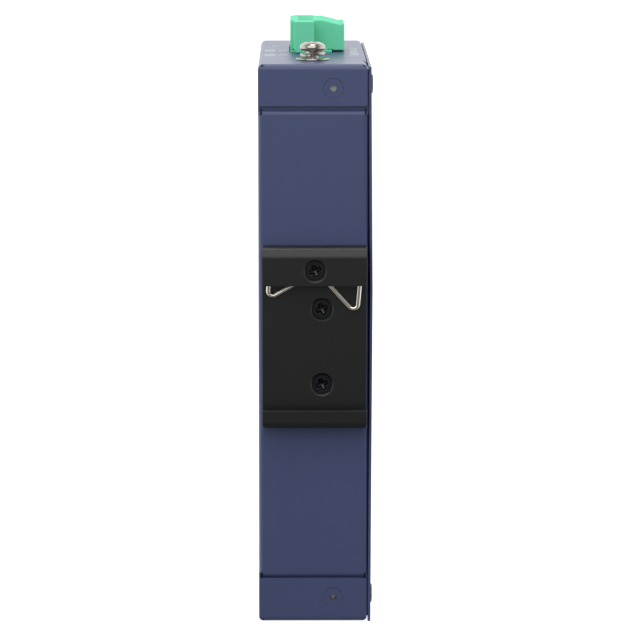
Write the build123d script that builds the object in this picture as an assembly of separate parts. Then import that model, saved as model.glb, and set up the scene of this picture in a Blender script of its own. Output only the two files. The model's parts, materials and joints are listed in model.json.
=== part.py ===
from build123d import *
import math
import os

os.makedirs("parts", exist_ok=True)

# A slim industrial PoE switch for a 35 mm rail, standing on the bottom of its case.
# Frame, in millimetres: X across the case, from the tray's closed side to the side cover,
# Y from the rail side to the port side, Z up from the bottom. The origin is the middle of
# the bottom.

# Case: a tray folded from one sheet, with its open side closed by a flat cover
case_height = 135.0
case_depth = 90.0
tray_width = 26.3
sheet = 1.0
bend_radius = 1.3
flange_width = 9.0
seam_gap = 0.1
flange_gap = 0.2
cut_edge_gap = 0.3
corner_length = 13.5
corner_seam = 0.5

# Rear tabs, folded over the offset ends of the rear wall and riveted to them
top_tab_height = 9.95
bottom_tab_height = 10.75
top_tab_groove = 0.95
bottom_tab_groove = 0.2
relief_height = 1.4
relief_width = 0.45
relief_inset = 0.5
corner_relief_radius = 0.35
rivet_x = 4.77
rivet_below_tab_bend = 5.7
rivet_above_tab_bend = 6.04

# Side cover
cover_thickness = 0.65
cover_bow = 0.4
cover_margin = 0.6
cover_screw_inset = 8.0
cover_screw_below_top = 5.2
cover_screw_above_bottom = 5.3
cover_screw_turn = 15

# Screws, rivets and clinch nuts
screw_radius = 1.5
screw_play = 0.1
nut_radius = 2.75
nut_height = 1.5
cover_head_radius = 2.35
cover_head_height = 0.5
cover_head_round = 0.45
cover_screw_length = 4.5
flat_head_radius = 2.35
flat_head_countersink = 2.8
clip_screw_length = 4.2
spring_screw_length = 6.0
recess_radius = 1.45
recess_width = 0.7
recess_depth = 0.9
recess_core_depth = 1.45
recess_core_tip = 0.35
rivet_head_radius = 2.3
rivet_seat_radius = 2.4
rivet_shank_radius = 1.6
rivet_head_depth = 0.7
rivet_bore_radius = 0.85
rivet_tail_radius = 2.1
rivet_tail_length = 2.6
rivet_tail_round = 0.7
mandrel_depth = 2.6
mandrel_head_radius = 1.3
mandrel_head_length = 1.0
fit_gap = 0.05
overrun = 1.0

# Rail clip, folded from one strip, with the wire spring in its hook
clip_sheet = 1.3
clip_width = 24.9
clip_x = 0.25
clip_bottom = 48.5
clip_height = 43.75
clip_depth = 6.0
hook_length = 9.45
lip_height = 4.3
hook_bend_radius = 2.9
lip_bend_radius = 1.5
spring_screw_x = 0.37
spring_screw_below_clip_top = 5.85
clip_screw_x = 2.05
upper_clip_screw_above_bottom = 28.1
clip_screw_spacing = 18.2
clip_screw_turn = 22
wire_radius = 0.55
wire_stand_off = 0.35
loop_play = 0.1
loop_shoulder_radius = 0.9
elbow_radius = 1.15
left_arm_angle = 209.5
left_arm_offset = 0.75
left_elbow_reach = 13.35
right_arm_angle = 312.2
right_arm_offset = 0.0
right_elbow_reach = 14.9
spring_end_below_clip_top = 4.35
left_leg_lean = -0.6
right_leg_lean = 1.1

# Ground screw on the top wall
ground_x = -0.1
ground_from_rear = 14.6
ground_washer_radius = 4.0
ground_washer_thickness = 0.5
lock_washer_radius = 3.0
lock_washer_thickness = 0.9
lock_washer_rise = 0.7
lock_washer_split = 24.0
ground_head_radius = 3.05
ground_head_height = 2.3
ground_head_round = 1.25
ground_head_foot_round = 0.7
ground_screw_reach = 2.6
ground_screw_turn = 35

# Board, standing beside the closed side
board_thickness = 1.6
board_face_x = -5.5
board_rear_margin = 2.4
board_front_margin = 1.5
board_foot_margin = 4.0
board_head_margin = 4.0
standoff_radius = 2.7
standoff_bore_radius = 1.25
standoff_inset = 5.0
standoff_behind_magnetics = 6.0
standoff_below_header = 5.4
board_screw_head_radius = 2.7
board_screw_head_height = 1.9
board_screw_head_round = 0.95
board_screw_turn = 20
board_screw_reach = 3.5
film_thickness = 0.25
film_gap = 0.4

# Pluggable terminal, standing in the top wall's cutout
poles = 4
pole_pitch = 5.08
terminal_from_rear = 44.0
header_wall = 1.0
header_floor = 3.0
header_width = 10.4
header_height = 12.2
header_above_top = 0.5
plug_gap = 0.1
plug_seat = 0.15
plug_width = 13.5
plug_height = 7.25
plug_flat_width = 8.1
plug_slope_drop = 1.4
plug_rib_height = 0.45
plug_rib_width = 0.8
plug_skirt_drop = 0.25
plug_reach = 8.2
grip_width = 5.0
grip_offset = 0.9
grip_length = 6.5
grip_above_top = 0.15
grip_slant_width = 0.45
grip_slant_height = 1.2
tongue_thickness = 1.4
tongue_reach = 3.4
tongue_narrowing = 1.0
wire_hole = 3.8
wire_hole_offset = 3.9
clamp_length = 7.0
clamp_width = 4.2
clamp_height = 4.4
clamp_window = 3.0
clamp_offset = 1.9
clamp_below_top = 1.6
clamp_screw_radius = 1.25
clamp_screw_head_radius = 1.85
clamp_screw_head_height = 1.5
clamp_screw_sink = 0.5
clamp_slot_depth = 0.75
pin_size = 1.0
pin_bend_radius = 0.2
pin_above_floor = 7.0
pin_below_header = 1.6
pin_past_board = 1.2
contact_leaf = 0.4
contact_width = 1.4
contact_above_tip = 0.8
cutout_side_gap = 0.25
cutout_near_gap = 1.0
cutout_far_gap = 2.2

# Ports
port_count = 5
port_width = 16.0
port_height = 13.5
port_length = 21.0
port_gap = 1.0
port_proud = 1.0
port_play = 0.15
shield_sheet = 0.3
socket_width = 11.8
socket_height = 6.8
socket_depth = 13.5
socket_above_board = 4.2
notch_width = 6.3
notch_height = 1.3
keyway_width = 3.4
keyway_height = 1.3
contact_count = 8
contact_pitch = 1.02
contact_thickness = 0.35
contact_root = 1.6
contact_run = 8.0
contact_dip = 2.1

# Status lights above the ports
led_rows = 4
led_columns = 2
led_pitch_z = 6.0
led_pitch_x = 5.6
led_column_x = -1.5
led_radius = 1.45
led_proud = 0.8
led_length = 4.0
led_holder_depth = 5.0
led_holder_wall = 1.3

# Parts on the board, with the gaps that set their places along it
chip_size = 14.0
chip_height = 1.1
pad_thickness = 0.5
sink_size = 22.0
sink_base = 1.5
sink_height = 8.0
sink_fins = 6
sink_fin_thickness = 1.2
sink_behind_magnetics = 2.0
sink_below_middle = 10.5
controller_size = 8.0
controller_height = 1.0
controller_above_sink = 23.0
crystal_length = 10.5
crystal_width = 4.2
crystal_height = 3.2
crystal_round = 1.7
crystal_behind_sink = 2.4
relay_length = 14.0
relay_width = 9.0
relay_height = 5.4
relay_from_board_rear = 9.0
relay_below_header = 6.9
inductor_count = 2
inductor_size = 12.0
inductor_height = 6.0
inductor_round = 1.5
inductor_window_radius = 4.3
inductor_core_radius = 3.4
inductor_window_depth = 1.2
inductor_from_board_rear = 6.5
inductor_above_middle = 4.5
inductor_pitch = 15.0
capacitor_count = 3
capacitor_radius = 5.0
capacitor_height = 12.5
capacitor_round = 0.4
capacitor_below_header = 8.8
capacitor_pitch = 12.5
magnetics_length = 15.0
magnetics_width = 12.0
magnetics_height = 6.0
magnetics_chamfer = 0.6
magnetics_behind_port = 1.5

# Places worked out from the sizes
half_width = tray_width / 2
rear = -case_depth / 2
front = case_depth / 2
top = case_height
inside = half_width - sheet
cut_edge = half_width - cut_edge_gap
offset = sheet + seam_gap
top_joint = top - top_tab_height - top_tab_groove - offset
bottom_joint = bottom_tab_height + bottom_tab_groove + offset
arc_share = math.sqrt(0.5)
top_rivet_z = top - rivet_below_tab_bend
bottom_rivet_z = rivet_above_tab_bend
cover_screw_places = [
    (y, z)
    for y in (rear + cover_screw_inset, front - cover_screw_inset)
    for z in (cover_screw_above_bottom, top - cover_screw_below_top)
]
clip_top = clip_bottom + clip_height
clip_front = rear - clip_depth
plate_face = rear - clip_sheet
clip_screw_places = [
    (clip_screw_x, clip_bottom + upper_clip_screw_above_bottom),
    (clip_screw_x, clip_bottom + upper_clip_screw_above_bottom - clip_screw_spacing),
]
spring_screw_z = clip_top - spring_screw_below_clip_top
wire_y = plate_face - wire_stand_off - wire_radius
ground_y = rear + ground_from_rear
board_back_x = board_face_x - board_thickness
board_rear = rear + offset + sheet + board_rear_margin
board_front = front - board_front_margin
board_foot = board_foot_margin
board_head = top - board_head_margin
plug_length = poles * pole_pitch
plug_near = rear + terminal_from_rear
plug_far = plug_near + plug_length
plug_low_x = board_face_x
header_near = plug_near - header_wall - plug_gap
header_far = plug_far + header_wall + plug_gap
header_mouth = top + header_above_top
header_base = header_mouth - header_height
plug_base = header_mouth + plug_seat
plug_top = plug_base + plug_height
plug_tip = plug_base - plug_reach
header_middle_x = board_face_x + header_width / 2
pole_places = [plug_near + (i + 0.5) * pole_pitch for i in range(poles)]
wire_hole_x = plug_low_x + wire_hole_offset
clamp_low_x = plug_low_x + clamp_offset
clamp_high_x = clamp_low_x + clamp_length
clamp_top_z = plug_top - clamp_below_top
clamp_base_z = clamp_top_z - clamp_height
clamp_middle_z = (clamp_top_z + clamp_base_z) / 2
plug_high_x = plug_low_x + plug_width
port_low_x = board_face_x
port_high_x = port_low_x + port_height
port_front = front + port_proud
port_back = port_front - port_length
port_pitch = port_width + port_gap
ports_length = port_count * port_pitch - port_gap
led_reach = led_radius + led_holder_wall
lights_length = (led_rows - 1) * led_pitch_z + 2 * led_reach
front_gap = (case_height - ports_length - lights_length) / 3
first_port_z = front_gap + port_width / 2
port_places = [first_port_z + i * port_pitch for i in range(port_count)]
magnetics_back = port_back - magnetics_behind_port - magnetics_width
first_led_z = 2 * front_gap + ports_length + led_reach
led_places = [
    (led_column_x + column * led_pitch_x, first_led_z + row * led_pitch_z)
    for row in range(led_rows)
    for column in range(led_columns)
]
middle_z = case_height / 2
standoff_places = [
    (y, z)
    for y in (board_rear + standoff_inset, magnetics_back - standoff_behind_magnetics)
    for z in (board_foot + standoff_inset, middle_z, header_base - standoff_below_header)
]
chip_y = magnetics_back - sink_behind_magnetics - sink_size / 2
chip_z = middle_z - sink_below_middle - sink_size / 2
controller_z = chip_z + sink_size / 2 + controller_above_sink + controller_size / 2
crystal_y = chip_y - sink_size / 2 - crystal_behind_sink - crystal_width / 2
relay_y = board_rear + relay_from_board_rear + relay_length / 2
relay_z = header_base - relay_below_header - relay_width / 2
inductor_y = board_rear + inductor_from_board_rear + inductor_size / 2
first_inductor_z = middle_z + inductor_above_middle + inductor_size / 2
inductor_places = [first_inductor_z + i * inductor_pitch for i in range(inductor_count)]
capacitor_z = header_base - capacitor_below_header - capacitor_radius
capacitor_places = [
    (plug_near + plug_far) / 2 + (i - (capacitor_count - 1) / 2) * capacitor_pitch
    for i in range(capacitor_count)
]


# Small makers

SECTION_PLANES = {"x": Plane.YZ, "y": Plane.ZX, "z": Plane.XY}


def block(x, y, z):
    """A box given by its low and high place along each axis."""
    middle = Pos((x[0] + x[1]) / 2, (y[0] + y[1]) / 2, (z[0] + z[1]) / 2)
    return middle * Box(x[1] - x[0], y[1] - y[0], z[1] - z[0])


def rod(radius, start, direction, length):
    """A round bar from a point, along a direction."""
    place = Plane(origin=start, z_dir=direction)
    return place * Cylinder(radius, length, align=(Align.CENTER, Align.CENTER, Align.MIN))


def drill(radius, start, direction, depth):
    """A round tool that reaches a little past both faces of what it cuts."""
    before = Vector(start) - Vector(direction) * overrun
    return rod(radius, before, direction, depth + 2 * overrun)


def taper(radius, end_radius, start, direction, length):
    """A round bar that narrows or widens along a direction."""
    place = Plane(origin=start, z_dir=direction)
    return place * Cone(radius, end_radius, length, align=(Align.CENTER, Align.CENTER, Align.MIN))


def bar(outline, axis, span):
    """A straight bar with a closed outline as its section.

    The outline's points are (y, z) for a bar along x, (z, x) along y and (x, y) along z.
    """
    place = SECTION_PLANES[axis].offset(span[0])
    return extrude(place * make_face(outline), amount=span[1] - span[0])


def bent(points, radii, axis, span):
    """A bar whose outline has a rounded corner at each point, of the radius given for it."""
    return bar(FilletPolyline(*points, radius=radii, close=True), axis, span)


def cross_recess(start, direction, turn):
    """The tool that cuts a cross recess into a screw head."""
    arm = Box(2 * recess_radius, recess_width, recess_depth)
    core = Cone(recess_width, recess_core_tip, recess_core_depth)
    tool = arm + Rot(0, 0, 90) * arm + core
    return Plane(origin=start, z_dir=direction) * Rot(0, 0, turn) * tool


def clinch_nut(start, direction):
    """A press nut, seated on the sheet, with its thread bored to the screw's size."""
    body = rod(nut_radius, start, direction, nut_height)
    return body - rod(screw_radius + fit_gap, start, direction, nut_height)


def solids_of(pieces):
    """Several equal pieces in one node, each a solid of its own."""
    return Compound(children=list(pieces))


# Case

def corner_round(side):
    """The tool that rounds a rear upright corner between the two tabs."""
    centre_x = side * (half_width - bend_radius)
    xs = sorted((centre_x, side * (half_width + overrun)))
    waste = block(xs, (rear - overrun, rear + bend_radius), (bottom_joint, top_joint))
    round_start = (centre_x, rear + bend_radius, bottom_joint)
    return waste - rod(bend_radius, round_start, (0, 0, 1), top_joint - bottom_joint)


def step_round(joint, up):
    """The rounded step of the rear wall: a quarter circle from its face to the offset end."""
    halfway = (rear + offset * (1 - arc_share), joint + up * offset * arc_share)
    return ThreePointArc((rear, joint), halfway, (rear + offset, joint + up * offset))


def joggled_end(joint, end, up):
    """One end of the rear wall, which steps inwards behind its tab."""
    outline = step_round(joint, up)
    outline += Polyline(
        (rear + offset, joint + up * offset),
        (rear + offset, end),
        (rear + offset + sheet, end),
        (rear + offset + sheet, joint + up * seam_gap),
        (rear + sheet, joint),
        (rear, joint),
    )
    return bar(outline, "x", (-inside - sheet / 2, inside + sheet / 2))


def tab_groove_tool(tab_edge, joint, end, up):
    """The space between a tab, the rounded step under its edge and the wall behind it."""
    outline = step_round(joint, up)
    outline += Polyline(
        (rear + offset, joint + up * offset),
        (rear + offset, end),
        (rear + sheet, end),
        (rear + sheet, tab_edge),
        (rear - overrun, tab_edge),
        (rear - overrun, joint),
        (rear, joint),
    )
    return bar(outline, "x", (-half_width - overrun, half_width + overrun))


def tray_body():
    """The folded walls before any hole is cut."""
    corner = rear + corner_length
    main = block((-half_width, half_width), (corner, front), (0, top))
    main = fillet(main.edges().filter_by(Axis.Y) + main.faces().sort_by(Axis.Y)[-1].edges(), bend_radius)
    back = block((-half_width, cut_edge), (rear, corner), (0, top))
    rear_bends = back.faces().sort_by(Axis.Y)[0].edges().filter_by(Axis.X)
    left_bends = back.faces().sort_by(Axis.X)[0].edges().filter_by(Axis.Y)
    right_rounds = back.faces().sort_by(Axis.X)[-1].edges().filter_by(Axis.Y)
    back = fillet(rear_bends + left_bends + right_rounds, bend_radius)
    panel = block((0, half_width), (rear, corner), (bottom_joint, top_joint))
    flange_span = (sheet + flange_gap, top - sheet - flange_gap)
    flange = block((inside, half_width), (rear + offset, corner), flange_span)
    body = main + back + panel + flange
    cavity = block((-inside, inside), (rear + sheet, front - sheet), (sheet, top - sheet))
    return body - cavity


def case_tray():
    """The tray: closed side, four walls and return flanges, all from one sheet."""
    corner = rear + corner_length
    tray = tray_body()
    tray += joggled_end(top_joint, top - sheet - flange_gap, 1)
    tray += joggled_end(bottom_joint, sheet + flange_gap, -1)
    tray -= tab_groove_tool(top - top_tab_height, top_joint, top - sheet, 1)
    tray -= tab_groove_tool(bottom_tab_height, bottom_joint, sheet, -1)
    tray -= corner_round(-1)
    tray -= corner_round(1)
    # The open side, inside the return flanges
    tray -= block(
        (inside - sheet, half_width + sheet),
        (corner - corner_seam, front - flange_width),
        (flange_width, top - flange_width),
    )
    # The seams between the rear flange and the top and bottom walls
    for low, high in ((top - sheet - flange_gap, top - sheet), (sheet, sheet + flange_gap)):
        tray -= block((inside, half_width + sheet), (rear + sheet, corner), (low, high))
    tray -= block((inside, half_width + sheet), (corner - corner_seam, corner), (sheet, top - sheet))
    # Bend reliefs beside the steps in the rear wall, and at the tabs' outer corners
    for joint, up in ((top_joint, 1), (bottom_joint, -1)):
        ends = sorted((joint, joint + up * relief_height))
        depth = (rear - sheet, rear + offset + sheet)
        left = -half_width + relief_inset
        right = half_width - relief_inset
        tray -= block((left, left + relief_width), depth, ends)
        tray -= block((right - relief_width, right), depth, ends)
    for x in (-inside, inside):
        for start, up in ((top, -1), (0, 1)):
            tray -= rod(corner_relief_radius, (x, rear + relief_inset, start), (0, 0, up), bend_radius)
    # Holes for rivets, screws, nuts and standoffs
    for z in (top_rivet_z, bottom_rivet_z):
        tray -= drill(rivet_shank_radius, (rivet_x, rear, z), (0, 1, 0), offset + sheet)
        tray -= taper(
            rivet_seat_radius, rivet_shank_radius, (rivet_x, rear, z), (0, 1, 0), rivet_head_depth
        )
    for x, z in clip_screw_places:
        tray -= drill(screw_radius + screw_play, (x, rear, z), (0, 1, 0), sheet)
    for y, z in cover_screw_places:
        tray -= drill(screw_radius + screw_play, (inside, y, z), (1, 0, 0), sheet)
    for y, z in standoff_places:
        tray -= drill(standoff_radius, (-half_width, y, z), (1, 0, 0), sheet)
    tray -= drill(screw_radius + screw_play, (ground_x, ground_y, top), (0, 0, -1), sheet)
    # The terminal's cutout
    tray -= block(
        (board_face_x - cutout_side_gap, board_face_x + header_width + cutout_side_gap),
        (header_near - cutout_near_gap, header_far + cutout_far_gap),
        (top - sheet - overrun, top + overrun),
    )
    # The ports and the status lights
    for z in port_places:
        tray -= block(
            (port_low_x - port_play, port_high_x + port_play),
            (front - sheet - overrun, front + overrun),
            (z - port_width / 2 - port_play, z + port_width / 2 + port_play),
        )
    for x, z in led_places:
        tray -= drill(led_radius + port_play, (x, front, z), (0, -1, 0), sheet)
    return tray


def side_cover():
    """The flat cover, screwed at its corners, which bows out a little between them."""
    low = 0
    high = top - cover_margin
    middle = high / 2
    inner = half_width
    outer = half_width + cover_thickness
    section = (
        ThreePointArc((low, inner), (middle, inner + cover_bow), (high, inner))
        + Line((high, inner), (high, outer))
        + ThreePointArc((high, outer), (middle, outer + cover_bow), (low, outer))
        + Line((low, outer), (low, inner))
    )
    cover = bar(section, "y", (rear + seam_gap, front - seam_gap))
    for y, z in cover_screw_places:
        seat_radius = cover_head_radius + fit_gap
        seat = taper(screw_radius + screw_play, seat_radius, (inner, y, z), (1, 0, 0), cover_thickness)
        cover -= seat + rod(seat_radius, (outer, y, z), (1, 0, 0), cover_bow + overrun)
    return cover


def cover_screw(y, z):
    """An oval countersunk screw, its cone in the cover and its end in the nut."""
    face = half_width + cover_thickness
    shank = cover_screw_length - cover_thickness
    screw = rod(screw_radius, (half_width - shank, y, z), (1, 0, 0), shank)
    screw += taper(screw_radius, cover_head_radius, (half_width, y, z), (1, 0, 0), cover_thickness)
    crown = rod(cover_head_radius, (face, y, z), (1, 0, 0), cover_head_height)
    screw += fillet(crown.faces().sort_by(Axis.X)[-1].edges(), cover_head_round)
    return screw - cross_recess((face + cover_head_height, y, z), (-1, 0, 0), cover_screw_turn)


def tab_rivet(z):
    """A blind rivet: countersunk head, hollow shank through both layers, set tail."""
    back = rear + offset + sheet
    rivet = rod(rivet_shank_radius, (rivet_x, rear, z), (0, 1, 0), offset + sheet)
    head_depth = rivet_head_depth - fit_gap
    rivet += taper(rivet_head_radius, rivet_shank_radius, (rivet_x, rear, z), (0, 1, 0), head_depth)
    tail = rod(rivet_tail_radius, (rivet_x, back, z), (0, 1, 0), rivet_tail_length)
    rivet += fillet(tail.faces().sort_by(Axis.Y)[-1].edges(), rivet_tail_round)
    length = offset + sheet + rivet_tail_length
    return rivet - rod(rivet_bore_radius, (rivet_x, rear, z), (0, 1, 0), length)


def rivet_mandrel(z):
    """The mandrel's end, left in the rivet with its head behind the tail."""
    tail_end = rear + offset + sheet + rivet_tail_length
    stem = rod(
        rivet_bore_radius - fit_gap / 2,
        (rivet_x, rear + mandrel_depth, z),
        (0, 1, 0),
        tail_end - rear - mandrel_depth,
    )
    return stem + rod(mandrel_head_radius, (rivet_x, tail_end, z), (0, 1, 0), mandrel_head_length)


# Rail clip

def flat_screw(x, face, z, length):
    """A countersunk screw whose head sits a little below the face of the clip."""
    sunk = flat_head_countersink - screw_play - flat_head_radius
    y = face + sunk
    cone = flat_head_radius - screw_radius
    screw = rod(screw_radius, (x, y, z), (0, 1, 0), length - sunk)
    screw += taper(flat_head_radius, screw_radius, (x, y, z), (0, 1, 0), cone)
    return screw - cross_recess((x, y, z), (0, 1, 0), clip_screw_turn)


def din_clip():
    """The clip: a plate on the rear wall, a hook above the rail and a lip below it."""
    t = clip_sheet
    hook_edge = clip_top - hook_length
    lip_edge = clip_bottom + lip_height
    points = [
        (rear, clip_bottom),
        (rear, clip_top),
        (clip_front, clip_top),
        (clip_front, hook_edge),
        (clip_front + t, hook_edge),
        (clip_front + t, clip_top - t),
        (plate_face, clip_top - t),
        (plate_face, clip_bottom + t),
        (clip_front + t, clip_bottom + t),
        (clip_front + t, lip_edge),
        (clip_front, lip_edge),
        (clip_front, clip_bottom),
    ]
    hook_inner = hook_bend_radius - t
    lip_inner = lip_bend_radius - t
    radii = [
        lip_bend_radius, hook_bend_radius, hook_bend_radius, 0, 0, hook_inner,
        hook_inner, lip_inner, lip_inner, 0, 0, lip_bend_radius,
    ]
    span = (clip_x - clip_width / 2, clip_x + clip_width / 2)
    clip = bent(points, radii, "x", span)
    seat = flat_head_countersink - screw_radius - screw_play
    clip -= drill(screw_radius + fit_gap, (spring_screw_x, plate_face, spring_screw_z), (0, 1, 0), t)
    holes = [(spring_screw_x, clip_front, spring_screw_z)]
    holes += [(x, plate_face, z) for x, z in clip_screw_places]
    for hole in holes:
        clip -= drill(screw_radius + screw_play, hole, (0, 1, 0), t)
        clip -= taper(flat_head_countersink, screw_radius + screw_play, hole, (0, 1, 0), seat)
    return clip


def spring_shoulder(angle, arm_offset, side):
    """Where an arm leaves the loop: points on the arm, in the bend and on the loop.

    The bend is a circle that touches the loop from outside and the arm from the outer
    side. The arm runs at an angle, past the screw's centre at a small distance.
    """
    loop_radius = screw_radius + loop_play + wire_radius
    along = Vector(math.cos(math.radians(angle)), math.sin(math.radians(angle)))
    across = Vector(-along.Y, along.X) * side
    centre = Vector(spring_screw_x, spring_screw_z)
    line_start = centre - across * arm_offset
    aside = loop_shoulder_radius - arm_offset
    ahead = math.sqrt((loop_radius + loop_shoulder_radius) ** 2 - aside**2)
    bend_centre = centre + along * ahead + across * aside
    on_arm = line_start + along * ahead
    on_loop = centre + (bend_centre - centre).normalized() * loop_radius
    chord_middle = (on_arm + on_loop) * 0.5
    halfway = bend_centre + (chord_middle - bend_centre).normalized() * loop_shoulder_radius
    return line_start, along, on_arm, halfway, on_loop


def spring_path():
    """The wire's line: leg, elbow, arm, loop round the screw, arm, elbow, leg."""
    loop_radius = screw_radius + loop_play + wire_radius
    left_start, left_along, left_arm, left_bend, left_loop = spring_shoulder(
        left_arm_angle, left_arm_offset, -1
    )
    right_start, right_along, right_arm, right_bend, right_loop = spring_shoulder(
        right_arm_angle, right_arm_offset, 1
    )
    leg_top = clip_top - spring_end_below_clip_top
    left_elbow = left_start + left_along * left_elbow_reach
    right_elbow = right_start + right_along * right_elbow_reach
    left_top = Vector(left_elbow.X - left_leg_lean, leg_top)
    right_top = Vector(right_elbow.X + right_leg_lean, leg_top)
    loop_top = Vector(spring_screw_x, spring_screw_z + loop_radius)
    path = FilletPolyline(left_top, left_elbow, left_arm, radius=elbow_radius)
    path += ThreePointArc(left_arm, left_bend, left_loop)
    path += ThreePointArc(left_loop, loop_top, right_loop)
    path += ThreePointArc(right_loop, right_bend, right_arm)
    path += FilletPolyline(right_arm, right_elbow, right_top, radius=elbow_radius)
    return path


def din_spring():
    """The wire, bent round the hook's screw and down through two points to press the rail."""
    wall = Plane(origin=(0, wire_y, 0), x_dir=(1, 0, 0), z_dir=(0, -1, 0))
    path = Wire((wall * spring_path()).edges())
    ring = Plane(origin=path @ 0, z_dir=path % 0) * Circle(wire_radius)
    return sweep(ring, path=path)


# Ground screw

def ground_flat_washer():
    """The flat washer on the top wall."""
    place = (ground_x, ground_y, top)
    washer = rod(ground_washer_radius, place, (0, 0, 1), ground_washer_thickness)
    return washer - drill(screw_radius + screw_play, place, (0, 0, 1), ground_washer_thickness)


def ground_lock_washer():
    """The split spring washer, its two ends a little apart in height."""
    base = top + ground_washer_thickness
    inner = screw_radius + screw_play
    middle = (lock_washer_radius + inner) / 2
    turn = (360 - lock_washer_split) / 360
    height = lock_washer_rise
    coil = Helix(pitch=height / turn, height=height, radius=middle, lefthand=True)
    place = Plane(origin=coil @ 0, x_dir=(1, 0, 0), z_dir=coil % 0)
    section = place * Rectangle(lock_washer_radius - inner, lock_washer_thickness)
    washer = sweep(section, path=coil, is_frenet=True)
    lift = base + lock_washer_thickness / 2 + fit_gap
    return Pos(ground_x, ground_y, lift) * Rot(0, 0, -90 - lock_washer_split / 2) * washer


def ground_screw():
    """The pan head screw, down through both washers and the wall into its nut."""
    seat = top + ground_washer_thickness + lock_washer_thickness + lock_washer_rise + 2 * fit_gap
    head = rod(ground_head_radius, (ground_x, ground_y, seat), (0, 0, 1), ground_head_height)
    head = fillet(head.faces().sort_by(Axis.Z)[-1].edges(), ground_head_round)
    head = fillet(head.faces().sort_by(Axis.Z)[0].edges(), ground_head_foot_round)
    shank_base = top - sheet - ground_screw_reach
    shank = rod(screw_radius, (ground_x, ground_y, shank_base), (0, 0, 1), seat - shank_base)
    crown = (ground_x, ground_y, seat + ground_head_height)
    return head + shank - cross_recess(crown, (0, 0, -1), ground_screw_turn)


# Board and what holds it

def main_board():
    """The board, with its mounting holes and the terminal's pin holes."""
    board = block((board_back_x, board_face_x), (board_rear, board_front), (board_foot, board_head))
    for y, z in standoff_places:
        board -= drill(screw_radius + screw_play, (board_back_x, y, z), (1, 0, 0), board_thickness)
    leg_z = header_base - pin_below_header
    half = pin_size / 2 + fit_gap
    through = (board_back_x - overrun, board_face_x + overrun)
    for y in pole_places:
        board -= block(through, (y - half, y + half), (leg_z - half, leg_z + half))
    return board


def board_standoff(y, z):
    """A clinch standoff, its head flush with the outside of the closed wall."""
    length = board_back_x + half_width
    post = rod(standoff_radius, (-half_width, y, z), (1, 0, 0), length)
    return post - rod(standoff_bore_radius, (board_back_x, y, z), (-1, 0, 0), length - sheet)


def board_screw(y, z):
    """A pan head screw through the board into its standoff."""
    head = rod(board_screw_head_radius, (board_face_x, y, z), (1, 0, 0), board_screw_head_height)
    head = fillet(head.faces().sort_by(Axis.X)[-1].edges(), board_screw_head_round)
    reach = board_thickness + board_screw_reach
    shank = rod(standoff_bore_radius - fit_gap, (board_face_x, y, z), (-1, 0, 0), reach)
    crown = (board_face_x + board_screw_head_height, y, z)
    return head + shank - cross_recess(crown, (-1, 0, 0), board_screw_turn)


def insulating_film():
    """The film between the board's back and the closed wall, holed for the standoffs."""
    low = -inside + film_gap
    film = block((low, low + film_thickness), (board_rear, board_front), (board_foot, board_head))
    for y, z in standoff_places:
        film -= drill(standoff_radius + fit_gap, (low, y, z), (1, 0, 0), film_thickness)
    return film


# Pluggable terminal

def terminal_header():
    """The header on the board: an open box with a thick floor for its pins."""
    body = block(
        (board_face_x, board_face_x + header_width), (header_near, header_far), (header_base, header_mouth)
    )
    body -= block(
        (board_face_x + header_wall, board_face_x + header_width - header_wall),
        (plug_near - plug_gap, plug_far + plug_gap),
        (header_base + header_floor, header_mouth + overrun),
    )
    half = pin_size / 2 + fit_gap
    for y in pole_places:
        body -= block(
            (header_middle_x - half, header_middle_x + half),
            (y - half, y + half),
            (header_base - overrun, header_mouth),
        )
    return body


def header_pin(y):
    """A square pin, up into the header's well and back through the board."""
    half = pin_size / 2
    leg_z = header_base - pin_below_header
    tip = header_base + header_floor + pin_above_floor
    end = board_back_x - pin_past_board
    points = [
        (tip, header_middle_x - half),
        (tip, header_middle_x + half),
        (leg_z - half, header_middle_x + half),
        (leg_z - half, end),
        (leg_z + half, end),
        (leg_z + half, header_middle_x - half),
    ]
    radii = [0, 0, pin_bend_radius + pin_size, 0, 0, pin_bend_radius]
    return bent(points, radii, "y", (y - half, y + half))


def end_grip(x, clear):
    """The block on the plug's near end that fingers pull on, over the top wall."""
    base = top + grip_above_top
    outline = Polyline(
        (plug_top, x[0]),
        (plug_top, x[1]),
        (base, x[1]),
        (base, x[0] + grip_slant_width),
        (base + grip_slant_height, x[0]),
        close=True,
    )
    block_span = (plug_near - grip_length, plug_near - clear)
    return bar(outline, "y", block_span) + block(x, (plug_near - clear, plug_near), (plug_base, plug_top))


def end_tongue(x, clear):
    """The tongue on the plug's far end, which reaches down beside the header."""
    tongue_span = (plug_far + clear, plug_far + clear + tongue_thickness)
    outline = Polyline(
        (plug_top, x[0]),
        (plug_top, x[1]),
        (plug_base - tongue_reach, x[1]),
        (plug_base - tongue_reach, x[0] + tongue_narrowing),
        (plug_base - tongue_narrowing, x[0]),
        close=True,
    )
    return bar(outline, "y", tongue_span) + block(x, (plug_far, tongue_span[1]), (plug_base, plug_top))


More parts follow.
